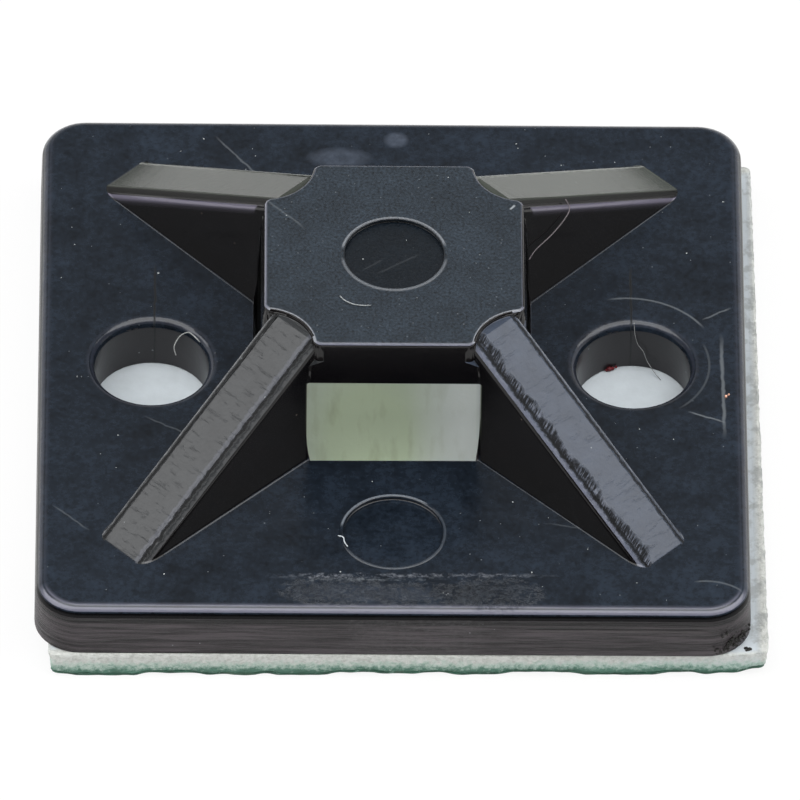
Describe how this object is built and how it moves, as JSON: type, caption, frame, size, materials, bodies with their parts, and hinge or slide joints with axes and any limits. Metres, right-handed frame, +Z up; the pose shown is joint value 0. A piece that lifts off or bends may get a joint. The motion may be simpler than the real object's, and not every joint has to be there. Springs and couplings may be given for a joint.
{
  "type": "cable tie mount",
  "caption": "Square adhesive and screw-on mount with a raised, ribbed bridge that a cable tie threads through from any side, on a foam pad.",
  "frame": {"origin": "centre of the square plate, on the underside of the release liner that the mount stands on", "axes": "+Z up, from the pad to the bridge; +X along the line of the two screw holes; -Y is the front, where the plate's ejector pin mark is"},
  "size_m": [0.0287, 0.0281, 0.0094],
  "materials": {
    "moulded_nylon": "satin black moulded nylon with tool marks and fine scratches",
    "adhesive_foam": "white closed-cell foam, cut edges slightly grey",
    "liner_film": "dark green coated release liner, slightly wavy"
  },
  "bodies": {
    "root": {"mount_body": "moulded_nylon", "foam_pad": "adhesive_foam", "release_liner": "liner_film"}
  },
  "joints": []
}
